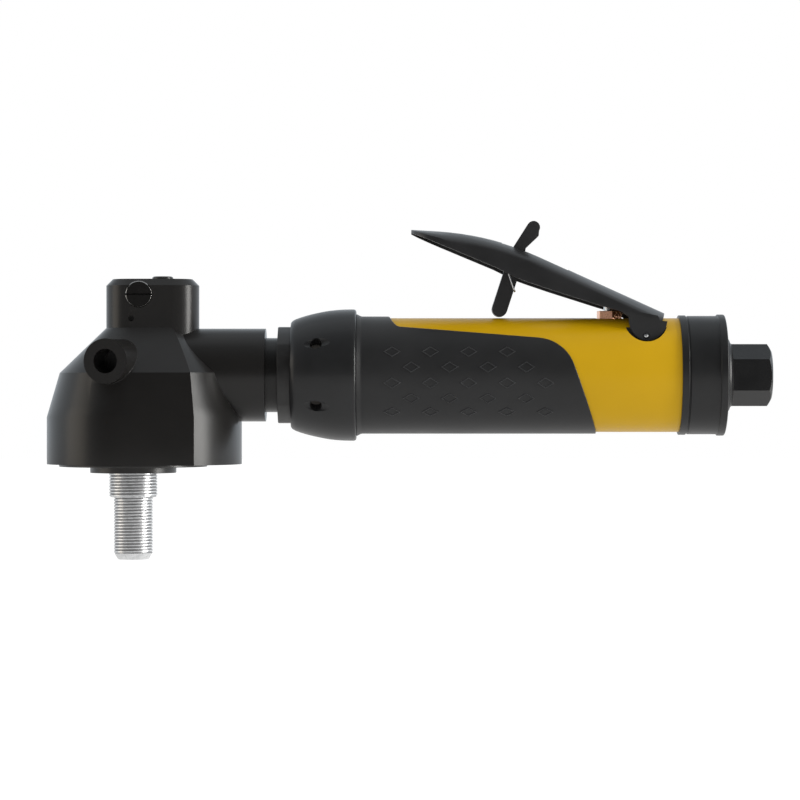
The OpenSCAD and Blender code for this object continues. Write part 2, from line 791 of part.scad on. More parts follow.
module motor_housing() {
    color(yellow) place() difference() {
        union() {
            along(body_x - thread_l) cylinder(r = thread_r, h = thread_l);
            difference() {
                along(body_x) cylinder(r = body_r, h = body_l);
                intersection() {
                    along(body_x - cut) tube(body_r + cut, grip_r - grip_t, body_l + cut);
                    side_cut() grip_window();
                }
            }
            along(body_end) cylinder(r = body_r - 0.8, h = housing_end - body_end);
        }
        along(body_x - thread_l - cut) cylinder(r = motor_bore_r, h = motor_end - body_x + thread_l + cut);
        along(motor_end - cut) cylinder(r = gallery_r - 2, h = plunger_x - motor_end);
        along(plunger_x - 9) cylinder(r = gallery_r, h = disc_x - seat_w - plunger_x + 9);
        along(disc_x - seat_w) cylinder(r = valve_out, h = shank_x - disc_x + seat_w + cut);
        along(shank_x - fit) cylinder(r = shank_r, h = housing_end - shank_x + cut);
        // Plunger's bore, seal seat and bushing thread
        translate([plunger_x, 0, 0]) {
            cylinder(r = plunger_r + slip, h = body_r);
            translate([0, 0, seal_bottom]) cylinder(r = bush_r + fit, h = body_r);
            translate([0, 0, spot_z]) cylinder(r = bushing_af / 2 + 1.3, h = 5);
        }
        // Lever pivot and the pockets for its ears
        translate([pivot_x, 0, pivot_z]) rotate([90, 0, 0]) cylinder(r = pin_r + fit, h = wide, center = true);
        for (s = [-1, 1])
            translate([pivot_x, s * (pocket_y + 10), pivot_z + pocket_up]) rotate([90, 0, 0])
                cylinder(r = pocket_r, h = 20, center = true);
    }
}

module cylinder_liner() {
    color(steel) place() difference() {
        along(cyl_x) cylinder(r = motor_bore_r - run, h = cyl_l);
        translate([0, 0, -eccentric]) along(cyl_x - cut) cylinder(r = bore_r, h = cyl_l + 2 * cut);
        // Exhaust ports
        for (x = [10:8.5:36])
            translate([cyl_x + x, 0, 0]) rotate([150, 0, 0]) cylinder(r = 2, h = 20);
        dowel_hole();
    }
}

module dowel_hole() {
    translate([0, 0, motor_bore_r - 1.9]) along(front_plate_x + 4) cylinder(r = 1, h = plate_w);
}

module front_end_plate() {
    color(steel) place() difference() {
        along(front_plate_x) cylinder(r = motor_bore_r - run, h = plate_w);
        along(front_plate_x - cut) cylinder(r = fm_out, h = mb_w + cut);
        along(front_plate_x) cylinder(r = fm_in + 0.8, h = plate_w + cut);
        dowel_hole();
    }
}

module rear_end_plate() {
    color(steel) place() difference() {
        along(rear_plate_x) cylinder(r = motor_bore_r - run, h = plate_w);
        along(washer_x - mb_w) cylinder(r = rm_out, h = mb_w + cut);
        along(rear_plate_x - cut) cylinder(r = rm_in + 0.8, h = plate_w);
        // Air ports into the cylinder
        for (a = [-20, 20])
            rotate([a, 0, 0]) translate([0, 0, rm_out + 2.3]) along(rear_plate_x - cut) cylinder(r = 1.2, h = plate_w + 2 * cut);
    }
}

module motor_bearing_outer_races() {
    color(steel) place() {
        along(front_plate_x) outer_race(fm_in, fm_out, mb_w);
        along(washer_x - mb_w) outer_race(rm_in, rm_out, mb_w);
    }
}

module motor_bearing_balls() {
    color(steel) place() {
        along(front_plate_x) balls(fm_in, fm_out, mb_w, 8);
        along(washer_x - mb_w) balls(rm_in, rm_out, mb_w, 8);
    }
}

module cylinder_dowel() {
    color(steel) place() translate([0, 0, motor_bore_r - 1.9]) along(front_plate_x + 4 + fit)
        cylinder(r = 1 - fit, h = plate_w - 2 * fit);
}

module motor_washer() {
    color(steel) place() along(washer_x) tube(motor_bore_r - slip, rm_in + 5, washer_w);
}

// Rear end
module rear_collar() {
    lip_r = collar_out_r + 0.2;
    bead_r = collar_out_r + 0.5;
    color(black) place() along(body_end) rotate_extrude() polygon([
        [body_r - 0.8 + fit, 0], [lip_r, 0], [lip_r, 2.4], [collar_out_r - 0.3, 2.6], [collar_out_r - 0.3, 2.9],
        [collar_out_r, 3.1], [collar_out_r, collar_l - 3.7], [bead_r, collar_l - 3.5], [bead_r, collar_l - 1.3],
        [bead_r - 0.3, collar_l - 1], [cap_rim_r, collar_l], [cap_rim_r - 0.5, collar_l + 0.7],
        [washer_out_r + 0.2, collar_l + 1.1],
        [shank_r + fit, collar_l + 1.1], [shank_r + fit, housing_end - body_end + fit],
        [body_r - 0.8 + fit, housing_end - body_end + fit]
    ]);
}

module inlet_washer() {
    color(steel) place() along(collar_end + 1.1) tube(washer_out_r, shank_r + fit, 0.4);
}

module inlet_bushing() {
    corner_r = inlet_af / 2 / cos(30);
    inlet_bevel = 2.4;
    color(black) place() difference() {
        union() {
            intersection() {
                along(hex_x) linear_extrude(height = inlet_l) hexagon(inlet_af);
                along(hex_x) rotate_extrude() polygon([
                    [0, 0], [corner_r + 0.1, 0], [corner_r + 0.1, inlet_l - inlet_bevel * tan(30)],
                    [corner_r + 0.1 - inlet_bevel, inlet_l], [0, inlet_l]
                ]);
            }
            along(shank_x) cylinder(r = shank_r, h = hex_x - shank_x);
        }
        along(shank_x - cut) cylinder(r = screen_r, h = inlet_end - shank_x);
        along(step_x) cylinder(r = screen_rim_r, h = screen_rim_t + cut);
        along(step_x + screen_rim_t) cylinder(r = inlet_r, h = inlet_end - step_x);
        along(inlet_end - 1) cylinder(r1 = inlet_r, r2 = inlet_r + 1.6, h = 1.6);
    }
}

module inlet_screen() {
    color(steel) place() difference() {
        union() {
            along(step_x) cylinder(r = screen_rim_r - run, h = screen_rim_t);
            along(step_x - 9) cylinder(r = screen_r - 0.6, h = 9);
        }
        along(step_x - 8.4) cylinder(r = screen_r - 1.2, h = 10);
        for (x = [2:2:6], a = [0:60:300])
            rotate([a + x * 15, 0, 0]) translate([step_x - 9 + x, 0, 0]) cylinder(r = 0.6, h = screen_r);
    }
}

module valve_seat() {
    color(bronze) place() along(disc_x - seat_w) tube(valve_out - fit, stem_r + 2.8, seat_w - fit);
}

module valve_bushing() {
    color(bronze) place() translate([plunger_x, 0, 0]) difference() {
        union() {
            translate([0, 0, spot_z]) rotate([0, 0, bushing_turn]) linear_extrude(height = hex_top - spot_z) hexagon(bushing_af);
            translate([0, 0, bush_bottom]) cylinder(r = bush_r, h = spot_z - bush_bottom);
        }
        translate([0, 0, bush_bottom - cut]) cylinder(r = plunger_r + run, h = 20);
    }
}

module plunger_seal() {
    color([0.2, 0.2, 0.2]) place() translate([plunger_x, 0, seal_bottom + fit])
        tube(bush_r - fit, plunger_r + run, bush_bottom - seal_bottom - 2 * fit);
}

module lever_pin() {
    color(steel) place() translate([pivot_x, 0, pivot_z]) rotate([90, 0, 0])
        cylinder(r = pin_r, h = 2 * lever_w, center = true);
}

// Lever: a sheet channel with a crowned top, drawn as upright sections along its length
function crest_slope(x) =
    x > bend_x ? lever_slope
    : x < tip_x0 ? tip_slope
    : asin(sin(lever_slope) - (bend_x - x) / lever_bend_r);
function crest_z(x) =
    x > bend_x ? rear_z + (rear_x - x) * tan(lever_slope)
    : x < tip_x0 ? tip_z0 + (tip_x0 - x) * tan(tip_slope)
    : bend_z + lever_bend_r * (cos(crest_slope(x)) - cos(lever_slope));
edge_line = [
    [tip_x, crest_z(tip_x) - 1.35], [pivot_x - 52.3, body_r + 17.3], [pivot_x - 44.5, body_r + 13.4],
    [pivot_x - 33.3, body_r + 9.6], [pivot_x - 15.4, body_r + 3.9], [pivot_x - 8.5, body_r + 1.9],
    [pivot_x - 4.5, body_r - 1.2], [rear_x + 3, body_r - 2]
];
function edge_z(x) = lookup(x, edge_line);
// Share of the way from the tip's bend to the tip, over which the lever narrows and thins
function tip_share(x) = max(0, (tip_x0 + 1 - x) / (tip_x0 + 1 - tip_x));
function half_w(x) = lever_w * sqrt(1 - 0.86 * pow(tip_share(x), 2));
// The crown flattens toward the tip
function crown_r(x) = crest_r * (1 + max(0, (tip_x0 + 5 - x) / (tip_x0 + 5 - tip_x)));
function sag(y, r) = r - sqrt(r * r - y * y);
function section(x) =
    let (
        w = half_w(x),
        z = crest_z(x),
        tv = lever_t * (1 - 0.5 * tip_share(x)) / cos(crest_slope(x)),
        r = crown_r(x),
        zc = z - sag(w, r),
        wi = w - lever_t,
        zi = z - tv - sag(wi, r - tv),
        e = min(edge_z(x), zc - max(tv, 0.9) - 0.1),
        k = 4
    )
        concat(
            [[x, -w, e], [x, -w, zc - 0.9], [x, -w + 0.35, zc - 0.15]],
            [for (j = [-k:k]) let (y = (w - 1.3) * j / k) [x, y, z - sag(y, r)]],
            [[x, w - 0.35, zc - 0.15], [x, w, zc - 0.9], [x, w, e]],
            [[x, wi, e], [x, wi, e + 0.4 * (zi - e)], [x, wi, e + 0.8 * (zi - e)]],
            [for (j = [k:-1:-k]) let (y = wi * j / k) [x, y, z - tv - sag(y, r - tv)]],
            [[x, -wi, e + 0.8 * (zi - e)], [x, -wi, e + 0.4 * (zi - e)], [x, -wi, e]]
        );
lever_stations = concat(
    [for (s = [0, 0.12, 0.3, 0.6, 1]) tip_x + s * (tip_x0 + 1 - tip_x)],
    [for (i = [1:9]) tip_x0 + 1 + (bend_x - tip_x0 - 1) * i / 9],
    [pivot_x - 33.3, pivot_x - 15.4, pivot_x - 8.5, pivot_x - 4.5, rear_x + 3]
);

module ear_outline() {
    // Fills the pocket at rest, and stays inside it while it swings round the pivot
    ear_r = pocket_r - ear_gap;
    turn = lever_swing / 2;
    half = asin(pocket_up * sin(turn) / ear_r);
    fore = [pivot_x + pocket_up * sin(lever_swing), pivot_z + pocket_up * cos(lever_swing)];
    back = [pivot_x, pivot_z + pocket_up];
    polygon(concat(
        [[pivot_x + 4, body_r + 0.6], [pivot_x - 5.5, body_r + 2.4]],
        arc(fore, ear_r, 165, 270 - turn - half, 8),
        arc(back, ear_r, 270 - turn + half, 356, 8),
        [[pivot_x + 4.8, body_r - 1.2]]
    ));
}

module lever() {
    color(black) place() difference() {
        union() {
            difference() {
                skin([for (x = lever_stations) section(x)]);
                // Rear end, square to the lever's slope
                translate([rear_x, 0, rear_z]) rotate([0, lever_slope, 0]) translate([wide / 2, 0, 0]) cube(wide, center = true);
            }
            for (s = [-1, 1])
                translate([0, s * (lever_w - lever_t / 2), 0]) rotate([90, 0, 0])
                    linear_extrude(height = lever_t, center = true) ear_outline();
            // Bosses that hold the link's pin inside the walls
            for (s = [-1, 1])
                translate([link_x, s * (link_boss_y + lever_w - lever_t + 0.4) / 2, link_z]) rotate([90, 0, 0])
                    cylinder(r = link_boss_r, h = lever_w - lever_t + 0.4 - link_boss_y, center = true);
        }
        // Slot for the lock link
        translate([link_x - 4.2, -slot_w / 2, link_z - 5]) cube([23.5, slot_w, 25]);
        translate([link_x, 0, link_z]) rotate([90, 0, 0]) cylinder(r = link_pin_r + fit, h = 2 * (lever_w - lever_t + 0.3), center = true);
        translate([pivot_x, 0, pivot_z]) rotate([90, 0, 0]) cylinder(r = pin_r + run, h = wide, center = true);
    }
}

module link_pin() {
    color(steel) place() translate([link_x, 0, link_z]) rotate([90, 0, 0])
        cylinder(r = link_pin_r, h = 2 * (lever_w - lever_t), center = true);
}

module link_outline() {
    d = [-sin(leg_lean), -cos(leg_lean)];
    n = [cos(leg_lean), -sin(leg_lean)];
    foot = leg_l * d;
    tab_a = 58.3;
    tab_r = 2.3;
    tab = [6.95, 13.4];
    polygon(concat(
        [foot_r * n + 1.5 * d],
        arc(foot, foot_r, -leg_lean, -leg_lean - 180, 10),
        [-foot_r * n + 1.5 * d, [-1.7, 4.4], [-0.27, 6.35]],
        arc(tab, tab_r, tab_a + 90, tab_a - 90, 8),
        [[8.75, 10.4], [4.2, 6.1], [3.95, 4.6], [3.1, 2.2]]
    ));
}

module lock_link() {
    color(black) place() translate([link_x, 0, link_z]) difference() {
        rotate([90, 0, 0]) linear_extrude(height = link_w, center = true) link_outline();
        rotate([90, 0, 0]) cylinder(r = link_pin_r + run, h = 40, center = true);
    }
}

// Least gap between the turns of a wound wire, measured on its points
function least_gap(path, r, per_turn) = min([
    for (i = [0:len(path) - 1 - per_turn / 2], j = [i + per_turn / 2:1:len(path) - 1])
        norm(path[i] - path[j]) - 2 * r
]);

turn_rings = 8;
spring_wire_r = 0.3;
spring_r = (link_boss_r + spring_wire_r + run) / cos(180 / turn_rings);
spring_turns = 2;
spring_pitch = 2 * spring_wire_r + 0.45;
spring_y = -link_boss_y - 0.2 - spring_wire_r;
leg_y = -link_w / 2 - spring_wire_r - slip;
leg_d = [-sin(leg_lean), -cos(leg_lean)];
leg_n = [cos(leg_lean), -sin(leg_lean)];
hook = 0.53 * leg_l * leg_d + (foot_r + spring_wire_r + slip) * leg_n;
link_coil = concat(
    [[spring_r, spring_y - spring_pitch * spring_turns, 1.2]],
    [
        for (i = [0:turn_rings * spring_turns + turn_rings / 2])
            let (a = -360 * i / turn_rings)
                [spring_r * cos(a), spring_y + spring_pitch * (min(i / turn_rings, spring_turns) - spring_turns), spring_r * sin(a)]
    ],
    [[-spring_r + 0.2, leg_y - 0.3, 1.1], [-spring_r - 0.1, leg_y, -0.3], [hook[0] - 0.5, leg_y, hook[1] + 1],
        [hook[0], leg_y + 0.2, hook[1]], [hook[0], leg_y + 0.8, hook[1] - 0.1], [hook[0], leg_y + 2.2, hook[1] - 0.1]]
);
echo(link_spring_least_gap = least_gap([for (i = [1:turn_rings * spring_turns]) link_coil[i]], spring_wire_r, turn_rings));

module link_spring() {
    color(steel) place() translate([link_x, 0, link_z]) wire(link_coil, spring_wire_r, 6);
}

// Throttle valve
module plunger() {
    // Highest point of the dome, just under the lever's sheet
    sheet_z = crest_z(plunger_x) - lever_t / cos(lever_slope);
    dome_z = sheet_z - (plunger_r + plunger_gap) / cos(lever_slope);
    foot_z = stem_r + plunger_gap + slip;
    color(steel) place() translate([plunger_x, 0, 0]) rotate_extrude() polygon(concat(
        [[0, foot_z], [plunger_r - 0.9, foot_z], [plunger_r, foot_z + 0.6]],
        arc([0, dome_z], plunger_r, 0, 90, 6)
    ));
}

module tip_valve() {
    color([0.25, 0.25, 0.25]) place() {
        along(disc_x) cylinder(r = valve_disc_r, h = disc_t);
        along(stem_end) cylinder(r = stem_r, h = disc_x - stem_end + cut);
    }
}

tip_wire_r = 0.4;
tip_turns = 4;
tip_spring_l = shank_x - disc_x - disc_t - 2 * tip_wire_r - 2.4;
tip_coil = [
    for (i = [0:turn_rings * tip_turns])
        let (s = i / turn_rings / tip_turns, r = valve_disc_r - 2.5 + 1.6 * s)
            [disc_x + disc_t + tip_wire_r + slip + tip_spring_l * s, r * cos(360 * i / turn_rings), r * sin(360 * i / turn_rings)]
];
echo(tip_valve_spring_least_gap = least_gap(tip_coil, tip_wire_r, turn_rings));

module tip_valve_spring() {
    color(steel) place() wire(tip_coil, tip_wire_r, 6);
}

angle_head_housing();
top_plug();
side_plug();
bearing_cover();
dust_seal();
lower_bearing_outer_race();
lower_bearing_balls();
upper_needle_cup();
upper_needles();
pinion_bearing_outer_races();
pinion_bearing_balls();
pinion_bearing_spacer();
pinion_retaining_ring();
coupling_nut();
spindle();
bevel_gear();
gear_nut();
gear_key();
dust_flange();
lower_bearing_inner_race();
pinion_shaft();
pinion_bearing_inner_races();
rotor();
rotor_vanes();
motor_bearing_inner_races();
exhaust_bell();
silencer_ring();
grip_sleeve();
motor_housing();
cylinder_liner();
front_end_plate();
rear_end_plate();
motor_bearing_outer_races();
motor_bearing_balls();
cylinder_dowel();
motor_washer();
rear_collar();
inlet_washer();
inlet_bushing();
inlet_screen();
valve_seat();
valve_bushing();
plunger_seal();
lever_pin();
lever();
link_pin();
lock_link();
link_spring();
plunger();
tip_valve();
tip_valve_spring();
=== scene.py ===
# Looks of the right angle die grinder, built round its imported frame. Lengths are in metres.
import itertools
import json
import math

import bpy
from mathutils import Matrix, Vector


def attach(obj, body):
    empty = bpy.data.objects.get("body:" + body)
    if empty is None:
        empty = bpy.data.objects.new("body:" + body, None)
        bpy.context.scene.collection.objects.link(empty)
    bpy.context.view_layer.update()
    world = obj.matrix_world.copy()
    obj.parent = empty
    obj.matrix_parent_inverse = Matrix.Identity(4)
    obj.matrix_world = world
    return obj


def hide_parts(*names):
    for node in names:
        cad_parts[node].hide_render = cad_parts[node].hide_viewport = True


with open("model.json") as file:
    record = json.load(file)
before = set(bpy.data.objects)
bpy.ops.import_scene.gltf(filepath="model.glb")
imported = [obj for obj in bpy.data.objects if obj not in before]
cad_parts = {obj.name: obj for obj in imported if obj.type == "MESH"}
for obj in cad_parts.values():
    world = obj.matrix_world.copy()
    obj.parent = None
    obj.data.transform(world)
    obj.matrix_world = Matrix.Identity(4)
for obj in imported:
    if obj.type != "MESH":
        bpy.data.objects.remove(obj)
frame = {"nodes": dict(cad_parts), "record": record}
nodes = frame["nodes"]
bodyOf = {node: body for body, group in frame["record"]["behaviour"]["bodies"].items() for node in group}
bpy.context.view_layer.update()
mm = 0.001
axisHeight = 43.1 * mm  # the handle's axis above the spindle's shoulder
weldWithin = 0.002 * mm  # points nearer than this become one
print("frame:", len(nodes), "nodes")


def pickNone():
    if bpy.context.object and bpy.context.mode != "OBJECT":
        bpy.ops.object.mode_set(mode="OBJECT")
    bpy.ops.object.select_all(action="DESELECT")


def pick(*objs):
    pickNone()
    for obj in objs:
        obj.select_set(True)
    bpy.context.view_layer.objects.active = objs[0]


def editMesh(obj, select="SELECT"):
    pick(obj)
    bpy.ops.object.mode_set(mode="EDIT")
    bpy.ops.mesh.select_all(action=select)


def leaveEdit():
    bpy.ops.object.mode_set(mode="OBJECT")


def applyPlace(obj, name):
    pick(obj)
    bpy.ops.object.transform_apply(location=True, rotation=True, scale=True)
    obj.name = name
    obj.data.name = name
    return obj


def addModifier(obj, kind, **settings):
    pick(obj)
    made = obj.modifiers.new(kind.lower(), kind)
    for key, value in settings.items():
        setattr(made, key, value)
    bpy.ops.object.modifier_apply(modifier=made.name)


def turnOut(obj):
    editMesh(obj)
    bpy.ops.mesh.remove_doubles(threshold=weldWithin)
    bpy.ops.mesh.normals_make_consistent(inside=False)
    leaveEdit()


def smooth(obj, sharpFrom=32):
    pick(obj)
    bpy.ops.object.shade_smooth_by_angle(angle=math.radians(sharpFrom))


# Finishes

noiseSpan = (0.3, 0.7)  # nearly all of a noise lies between these two values


def addNode(tree, kind, settings=None, **sockets):
    # a socket is given by its name, or as n and its number
    made = tree.nodes.new("ShaderNode" + kind)
    for key, value in (settings or {}).items():
        setattr(made, key, value)
    for key, value in sockets.items():
        numbered = key[0] == "n" and key[1:].isdigit()
        socket = made.inputs[int(key[1:]) if numbered else key]
        if isinstance(value, bpy.types.NodeSocket):
            tree.links.new(value, socket)
        else:
            socket.default_value = value
    return made


def reckon(tree, operation, *values):
    sockets = {f"n{place}": value for place, value in enumerate(values)}
    return addNode(tree, "Math", {"operation": operation}, **sockets).outputs[0]


def ramp(tree, value, span, result, curve="LINEAR"):
    made = addNode(tree, "MapRange", {"interpolation_type": curve}, n0=value, n1=span[0], n2=span[1],
                   n3=result[0], n4=result[1])
    return made.outputs["Result"]


def paint(colour):
    return (*colour, 1)


def mixColour(tree, share, one, two):
    made = addNode(tree, "Mix", {"data_type": "RGBA"}, n0=share, n6=paint(one), n7=paint(two))
    return made.outputs[2]


def noise(tree, where, size, detail=2.0, roughness=0.5):
    made = addNode(tree, "TexNoise", None, Vector=where, Scale=1 / size, Detail=detail, Roughness=roughness)
    return made.outputs["Fac"]


def bump(tree, height, depth, strength, under=None):
    made = addNode(tree, "Bump", None, Height=height, Strength=strength, Distance=depth)
    if under:
        tree.links.new(under, made.inputs["Normal"])
    return made.outputs["Normal"]


def startFinish(name, level=0.5, metallic=0.0, coat=0.0, coatRoughness=0.1, sheen=0.0):
    mat = bpy.data.materials.new(name)
    mat.use_nodes = True
    tree = mat.node_tree
    shader = tree.nodes["Principled BSDF"]
    constants = {"IOR": 1.5, "Specular IOR Level": level, "Metallic": metallic, "Coat Weight": coat,
                 "Coat Roughness": coatRoughness, "Sheen Weight": sheen}
    for socket, value in constants.items():
        shader.inputs[socket].default_value = value
    where = addNode(tree, "TexCoord").outputs["Object"]
    return mat, tree, shader, where


def coverWith(tree, shader, drift, tones, polish, rough, normal):
    # the first noise moves the tone, the second the roughness
    tone = mixColour(tree, ramp(tree, drift, noiseSpan, (0, 1)), *tones)
    tree.links.new(tone, shader.inputs["Base Color"])
    tree.links.new(ramp(tree, polish, noiseSpan, rough), shader.inputs["Roughness"])
    tree.links.new(normal, shader.inputs["Normal"])


def turnedMarks(tree, where, axis, size, depth, strength, under):
    # fine rings left by the lathe, the same all round the axis
    split = addNode(tree, "SeparateXYZ", None, Vector=where)
    sides = [split.outputs[side] for side in "XYZ" if side != axis]
    if axis == "X":
        sides[1] = reckon(tree, "SUBTRACT", sides[1], axisHeight)
    squares = [reckon(tree, "MULTIPLY", side, side) for side in sides]
    radius = reckon(tree, "SQRT", reckon(tree, "ADD", *squares))
    ring = addNode(tree, "CombineXYZ", None, X=split.outputs[axis], Y=radius).outputs["Vector"]
    return bump(tree, noise(tree, ring, size), depth, strength, under)


def satinFinish(name, tones, rough, patch, grain, depth, marks=None, **shine):
    # painted, anodised or blackened: a slow drift of tone, a fine grain, and lathe marks where it was turned
    mat, tree, shader, where = startFinish(name, **shine)
    drift = noise(tree, where, patch, detail=3.0)
    fine = noise(tree, where, grain, detail=3.0, roughness=0.6)
    normal = bump(tree, fine, depth, strength=0.5)
    if marks:
        normal = turnedMarks(tree, where, **marks, strength=0.4, under=normal)
    coverWith(tree, shader, drift, tones, drift, rough, normal)
    return mat


def metalFinish(name, tones, rough, patch, marks=None, grain=0.3 * mm, depth=0.004 * mm, metallic=1.0):
    mat, tree, shader, where = startFinish(name, metallic=metallic)
    drift = noise(tree, where, patch, detail=4.0, roughness=0.6)
    fine = noise(tree, where, grain)
    normal = bump(tree, fine, depth, strength=0.5)
    if marks:
        normal = turnedMarks(tree, where, **marks, strength=0.5, under=normal)
    coverWith(tree, shader, drift, tones, fine, rough, normal)
    return mat


def rubberFinish(name, tones, rough, grain, depth, level):
    # moulded rubber: a close pebble grain with a soft bloom
    mat, tree, shader, where = startFinish(name, level=level, sheen=0.04)
    drift = noise(tree, where, size=14 * mm, detail=3.0)
    pebble = addNode(tree, "TexVoronoi", {"feature": "SMOOTH_F1"}, Vector=where, Scale=1 / grain)
    normal = bump(tree, pebble.outputs["Distance"], depth, strength=0.35)
    coverWith(tree, shader, drift, tones, drift, rough, normal)
    return mat


def enamelFinish(name, tones, rough, peel, depth):
    # stoved enamel: a faint orange peel under a soft gloss
    mat, tree, shader, where = startFinish(name, level=0.2)
    drift = noise(tree, where, size=22 * mm)
    skin = noise(tree, where, peel, detail=1.5)
    coverWith(tree, shader, drift, tones, skin, rough, bump(tree, skin, depth, strength=0.3))
    return mat


def meshFinish(name, wire, gap, pitch, depth, rough):
    # a woven wire screen across the X axis
    mat, tree, shader, where = startFinish(name, metallic=1.0)
    split = addNode(tree, "SeparateXYZ", None, Vector=where)
    turns = [reckon(tree, "MULTIPLY", split.outputs[side], math.tau / pitch) for side in "YZ"]
    top = reckon(tree, "MAXIMUM", *[reckon(tree, "SINE", turn) for turn in turns])
    tone = mixColour(tree, ramp(tree, top, span=(0.1, 0.5), result=(0.0, 1.0)), gap, wire)
    tree.links.new(tone, shader.inputs["Base Color"])
    shader.inputs["Roughness"].default_value = rough
    tree.links.new(bump(tree, top, depth, strength=0.6), shader.inputs["Normal"])
    return mat


# tones and rough give the two ends of colour and roughness, patch the size of their drift,
# grain the size and depth the height of the bump, and marks the rings of the lathe
finishSettings = {
    "castBlack": (satinFinish, dict(
        tones=((0.0098, 0.0092, 0.0088), (0.0112, 0.0105, 0.0100)), rough=(0.275, 0.30), patch=14 * mm,
        grain=0.35 * mm, depth=0.006 * mm, level=0.3)),
    "turnedBlack": (satinFinish, dict(
        tones=((0.015, 0.014, 0.0135), (0.021, 0.020, 0.019)), rough=(0.26, 0.36), patch=6 * mm,
        grain=0.25 * mm, depth=0.003 * mm, level=0.45,
        marks=dict(axis="Z", size=0.25 * mm, depth=0.004 * mm))),
    "nutBlack": (satinFinish, dict(
        tones=((0.014, 0.0135, 0.0135), (0.019, 0.0185, 0.0185)), rough=(0.28, 0.38), patch=5 * mm,
        grain=0.25 * mm, depth=0.003 * mm, level=0.35,
        marks=dict(axis="X", size=0.3 * mm, depth=0.003 * mm))),
    "bellBlack": (satinFinish, dict(
        tones=((0.0105, 0.0108, 0.0114), (0.0130, 0.0134, 0.0142)), rough=(0.33, 0.41), patch=12 * mm,
        grain=0.3 * mm, depth=0.003 * mm, level=0.28, coat=0.12, coatRoughness=0.14,
        marks=dict(axis="X", size=0.35 * mm, depth=0.003 * mm))),
    "collarBlack": (satinFinish, dict(
        tones=((0.0085, 0.0087, 0.0092), (0.0106, 0.0109, 0.0115)), rough=(0.34, 0.42), patch=10 * mm,
        grain=0.3 * mm, depth=0.004 * mm, level=0.35,
        marks=dict(axis="X", size=0.3 * mm, depth=0.004 * mm))),
    "inletBlack": (satinFinish, dict(
        tones=((0.0055, 0.0055, 0.0058), (0.0072, 0.0072, 0.0075)), rough=(0.20, 0.28), patch=7 * mm,
        grain=0.25 * mm, depth=0.003 * mm, level=0.3)),
    "leverBlack": (satinFinish, dict(
        tones=((0.0125, 0.0125, 0.0130), (0.0165, 0.0165, 0.0175)), rough=(0.34, 0.42), patch=15 * mm,
        grain=0.4 * mm, depth=0.005 * mm, level=0.38)),
    "gripRubber": (rubberFinish, dict(
        tones=((0.0122, 0.0124, 0.0130), (0.0150, 0.0152, 0.0160)), rough=(0.40, 0.46),
        grain=0.28 * mm, depth=0.010 * mm, level=0.28)),
    # the lozenges' rubber is a lighter copy of the grip's: a painted highlight on the raised outlines
    "raisedRubber": (rubberFinish, dict(
        tones=((0.0150, 0.0155, 0.0165), (0.0190, 0.0195, 0.0210)), rough=(0.30, 0.36),
        grain=0.28 * mm, depth=0.004 * mm, level=0.5)),
    "plugBlack": (satinFinish, dict(
        tones=((0.0054, 0.0050, 0.0047), (0.0068, 0.0063, 0.0060)), rough=(0.36, 0.44), patch=4 * mm,
        grain=0.25 * mm, depth=0.003 * mm, level=0.14)),
    # bright metal for the plug's rim chamfer: a painted highlight
    "wornEdge": (metalFinish, dict(
        tones=((0.30, 0.29, 0.28), (0.42, 0.41, 0.40)), rough=(0.22, 0.34), patch=1.2 * mm)),
    "sealRubber": (rubberFinish, dict(
        tones=((0.015, 0.015, 0.015), (0.021, 0.021, 0.021)), rough=(0.5, 0.62),
        grain=0.4 * mm, depth=0.01 * mm, level=0.35)),
    "yellowEnamel": (enamelFinish, dict(
        tones=((0.465, 0.272, 0.0010), (0.495, 0.290, 0.0018)), rough=(0.30, 0.40),
        peel=0.9 * mm, depth=0.006 * mm)),
    "threadSteel": (metalFinish, dict(
        tones=((0.58, 0.59, 0.60), (0.76, 0.77, 0.78)), rough=(0.18, 0.46), patch=1.6 * mm,
        grain=0.22 * mm, depth=0.012 * mm, metallic=0.7,
        marks=dict(axis="Z", size=0.12 * mm, depth=0.01 * mm))),
    # a darker steel for the thread's flanks and roots: painted shade in the grooves
    "grooveSteel": (metalFinish, dict(
        tones=((0.36, 0.36, 0.365), (0.48, 0.48, 0.49)), rough=(0.34, 0.46), patch=1.6 * mm, metallic=0.85)),
    "pinSteel": (metalFinish, dict(
        tones=((0.82, 0.82, 0.82), (0.90, 0.90, 0.90)), rough=(0.24, 0.30), patch=2 * mm)),
    "groundSteel": (metalFinish, dict(
        tones=((0.52, 0.53, 0.54), (0.62, 0.63, 0.64)), rough=(0.20, 0.32), patch=5 * mm,
        marks=dict(axis="X", size=0.15 * mm, depth=0.005 * mm))),
    "springSteel": (metalFinish, dict(
        tones=((0.55, 0.55, 0.56), (0.66, 0.66, 0.67)), rough=(0.22, 0.30), patch=3 * mm)),
    "greyIron": (metalFinish, dict(
        tones=((0.26, 0.26, 0.26), (0.33, 0.33, 0.33)), rough=(0.36, 0.5), patch=6 * mm,
        marks=dict(axis="X", size=0.4 * mm, depth=0.01 * mm))),
    "screenMesh": (meshFinish, dict(
        wire=(0.34, 0.34, 0.33), gap=(0.012, 0.012, 0.012), pitch=0.9 * mm, depth=0.1 * mm, rough=0.38)),
    "copperBronze": (metalFinish, dict(
        tones=((0.82, 0.43, 0.27), (0.90, 0.50, 0.33)), rough=(0.24, 0.34), patch=3 * mm,
        marks=dict(axis="Z", size=0.2 * mm, depth=0.005 * mm))),
    "vaneLaminate": (satinFinish, dict(
        tones=((0.17, 0.075, 0.028), (0.24, 0.110, 0.045)), rough=(0.5, 0.6), patch=2 * mm,
        grain=0.3 * mm, depth=0.01 * mm, level=0.4)),
    "feltGrey": (rubberFinish, dict(
        tones=((0.10, 0.095, 0.085), (0.15, 0.14, 0.13)), rough=(0.85, 0.95),
        grain=0.5 * mm, depth=0.08 * mm, level=0.1)),
}
finishes = {name: make(name, **how) for name, (make, how) in finishSettings.items()}
print("finishes:", len(finishes))


